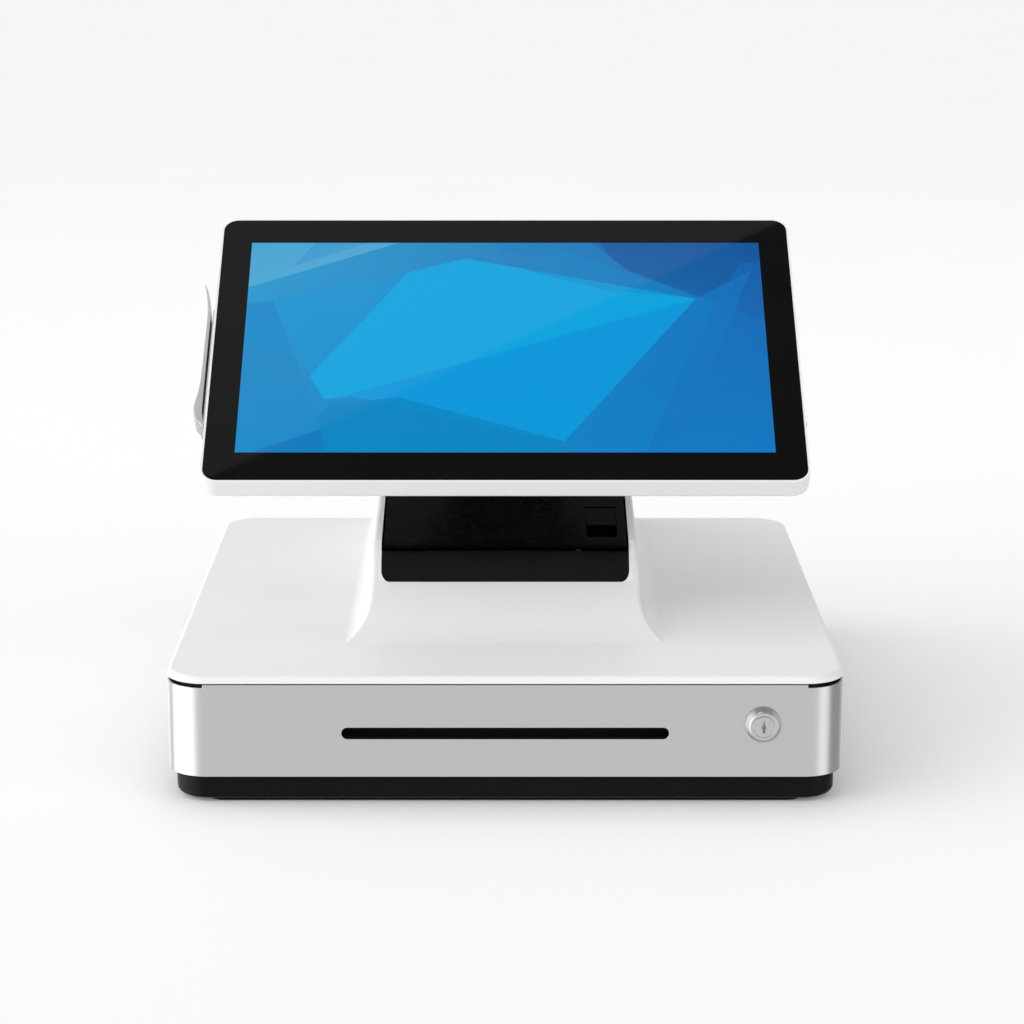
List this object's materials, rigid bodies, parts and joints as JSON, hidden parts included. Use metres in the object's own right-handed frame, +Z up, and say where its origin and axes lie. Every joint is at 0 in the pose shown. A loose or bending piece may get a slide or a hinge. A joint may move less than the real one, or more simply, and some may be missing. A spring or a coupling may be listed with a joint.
{
  "type": "pos touchscreen terminal",
  "caption": "All-in-one countertop checkout terminal: cash drawer base, built-in receipt printer, tilting wide touchscreen with side card reader.",
  "frame": {"origin": "on the counter, under the middle of the whole object", "axes": "+X to the operator's right, +Y away from the operator, +Z up"},
  "size_m": [0.41, 0.4274, 0.3153],
  "materials": {
    "rubber_black": "matt rubber",
    "plinth_black": "satin black moulding",
    "zinc_steel": "zinc-plated sheet",
    "screw_steel": "bright turned steel",
    "silver_sheet": "satin silver paint",
    "shadow_black": "fine-textured black moulding",
    "cover_white": "glossy white moulding",
    "nylon_white": "natural nylon",
    "drawer_black": "black powder coat",
    "tray_black": "grained black moulding",
    "lock_chrome": "bright nickel",
    "coil_black": "black moulding",
    "fascia_black": "satin black moulding",
    "ceramic_head": "printhead heat sink with a ceramic strip",
    "motor_steel": "plated steel can",
    "receipt_paper": "thermal paper",
    "blade_steel": "ground blade steel",
    "lid_black": "semi-gloss black moulding",
    "psu_steel": "folded sheet case",
    "board_green": "printed circuit board with its parts",
    "harness_black": "cable sleeve",
    "screen_glass": "black-bordered touch glass over the lit panel",
    "reader_grey": "grey moulding",
    "hinge_steel": "black-coated steel",
    "clip_grey": "dark grey moulding"
  },
  "bodies": {
    "base": {"base_pan": "plinth_black", "case_band": "silver_sheet", "case_screws": "screw_steel", "chassis_tray": "zinc_steel", "dc_harness": "harness_black", "deck_plate": "zinc_steel", "feed_motor": "motor_steel", "fixed_rails": "zinc_steel", "foot_strips": "rubber_black", "hinge_shaft": "screw_steel", "io_board": "board_green", "latch_base": "zinc_steel", "lid_pin": "screw_steel", "neck_bracket": "zinc_steel", "neck_front_shell": "cover_white", "neck_rear_shell": "cover_white", "paper_web": "receipt_paper", "port_panel": "shadow_black", "power_inlet": "coil_black", "power_supply": "psu_steel", "print_head": "ceramic_head", "printer_fascia": "fascia_black", "printer_frame": "shadow_black", "shadow_frame": "shadow_black", "solenoid": "coil_black", "top_cover": "cover_white"},
    "drawer": {"drawer_front": "silver_sheet", "front_carrier": "shadow_black", "drawer_box": "drawer_black", "drawer_rails": "zinc_steel", "cash_tray": "tray_black", "bill_rod": "screw_steel", "lock_barrel": "lock_chrome"},
    "front_rollers": {"front_rollers": "nylon_white"},
    "rear_rollers": {"rear_rollers": "nylon_white"},
    "lock_plug": {"lock_plug": "lock_chrome", "lock_cam": "screw_steel"},
    "latch_hook": {"latch_hook": "screw_steel"},
    "solenoid_plunger": {"solenoid_plunger": "screw_steel"},
    "ejector_plunger": {"ejector_plunger": "nylon_white"},
    "moving_blade": {"moving_blade": "blade_steel"},
    "feed_pinion": {"feed_pinion": "nylon_white"},
    "idler_gear": {"idler_gear": "nylon_white"},
    "paper_roll": {"paper_roll": "receipt_paper"},
    "printer_lid": {"printer_lid": "lid_black", "fixed_blade": "blade_steel"},
    "platen": {"platen_shaft": "screw_steel", "platen_rubber": "rubber_black"},
    "lid_lever": {"lid_lever": "lid_black"},
    "display": {"display_back": "cover_white", "cover_glass": "screen_glass", "lcd_panel": "motor_steel", "mainboard": "board_green", "card_reader": "reader_grey", "hinge_arms": "hinge_steel"},
    "power_button": {"power_button": "reader_grey"},
    "bill_weight_1": {"bill_weight_1": "clip_grey"},
    "bill_weight_2": {"bill_weight_2": "clip_grey"},
    "bill_weight_3": {"bill_weight_3": "clip_grey"},
    "bill_weight_4": {"bill_weight_4": "clip_grey"}
  },
  "joints": [
    {"name": "drawer_slide", "type": "slide", "parent": "base", "child": "drawer", "axis": [0, -1, 0], "range_m": [0, 0.29]},
    {"name": "front_roller_spin", "type": "hinge", "parent": "base", "child": "front_rollers", "pos_m": [0, -0.1677, 0.044], "axis": [1, 0, 0], "range_deg": [0, 1850]},
    {"name": "rear_roller_spin", "type": "hinge", "parent": "drawer", "child": "rear_rollers", "pos_m": [0, 0.1503, 0.044], "axis": [1, 0, 0], "range_deg": [0, 1850]},
    {"name": "lock_turn", "type": "hinge", "parent": "drawer", "child": "lock_plug", "pos_m": [0.1549, -0.2077, 0.051], "axis": [0, 1, 0], "range_deg": [0, 90]},
    {"name": "solenoid_pull", "type": "slide", "parent": "base", "child": "solenoid_plunger", "axis": [-1, 0, 0], "range_m": [0, 0.0025]},
    {"name": "hook_turn", "type": "hinge", "parent": "base", "child": "latch_hook", "pos_m": [0.034, 0.1943, 0.036], "axis": [0, 0, -1], "range_deg": [0, 12.5]},
    {"name": "ejector_push", "type": "slide", "parent": "base", "child": "ejector_plunger", "axis": [0, 1, 0], "range_m": [0, 0.008], "stiffness_N_per_m": 400},
    {"name": "blade_cut", "type": "slide", "parent": "base", "child": "moving_blade", "axis": [0, 0.7986, 0.6018], "range_m": [0, 0.004]},
    {"name": "lid_open", "type": "hinge", "parent": "base", "child": "printer_lid", "pos_m": [0, 0.0413, 0.1415], "axis": [-1, 0, 0], "range_deg": [0, 30]},
    {"name": "lever_lift", "type": "hinge", "parent": "printer_lid", "child": "lid_lever", "pos_m": [0.063, -0.0062, 0.13417], "axis": [-1, 0, 0], "range_deg": [0, 14], "stiffness_Nm_per_rad": 0.02},
    {"name": "platen_spin", "type": "hinge", "parent": "printer_lid", "child": "platen", "pos_m": [0, -0.038, 0.114], "axis": [1, 0, 0], "continuous": true},
    {"name": "idler_spin", "type": "hinge", "parent": "base", "child": "idler_gear", "pos_m": [0, -0.03323, 0.10025], "axis": [1, 0, 0], "continuous": true},
    {"name": "pinion_spin", "type": "hinge", "parent": "base", "child": "feed_pinion", "pos_m": [0, -0.04209, 0.09382], "axis": [1, 0, 0], "continuous": true},
    {"name": "roll_spin", "type": "hinge", "parent": "base", "child": "paper_roll", "pos_m": [0, 0.006, 0.104], "axis": [1, 0, 0], "continuous": true},
    {"name": "display_tilt", "type": "hinge", "parent": "base", "child": "display", "pos_m": [0, 0.05129, 0.20458], "axis": [-1, 0, 0], "range_deg": [-15, 20]},
    {"name": "button_press", "type": "slide", "parent": "display", "child": "power_button", "axis": [-1, 0, 0], "range_m": [0, 0.0008], "stiffness_N_per_m": 1500},
    {"name": "bill_weight_1_lift", "type": "hinge", "parent": "drawer", "child": "bill_weight_1", "pos_m": [-0.13125, 0.1513, 0.0575], "axis": [-1, 0, 0], "range_deg": [0, 13]},
    {"name": "bill_weight_2_lift", "type": "hinge", "parent": "drawer", "child": "bill_weight_2", "pos_m": [-0.04375, 0.1513, 0.0575], "axis": [-1, 0, 0], "range_deg": [0, 13]},
    {"name": "bill_weight_3_lift", "type": "hinge", "parent": "drawer", "child": "bill_weight_3", "pos_m": [0.04375, 0.1513, 0.0575], "axis": [-1, 0, 0], "range_deg": [0, 13]},
    {"name": "bill_weight_4_lift", "type": "hinge", "parent": "drawer", "child": "bill_weight_4", "pos_m": [0.13125, 0.1513, 0.0575], "axis": [-1, 0, 0], "range_deg": [0, 13]}
  ],
  "couplings": [
    {"joint": "front_roller_spin", "follows": "drawer_slide", "rad_per_m": 111.11},
    {"joint": "rear_roller_spin", "follows": "drawer_slide", "rad_per_m": 111.11},
    {"joint": "hook_turn", "follows": "solenoid_pull", "rad_per_m": 83.776},
    {"joint": "idler_spin", "follows": "platen_spin", "ratio": -1},
    {"joint": "pinion_spin", "follows": "platen_spin", "ratio": 2},
    {"joint": "roll_spin", "follows": "platen_spin", "ratio": 0.24}
  ]
}
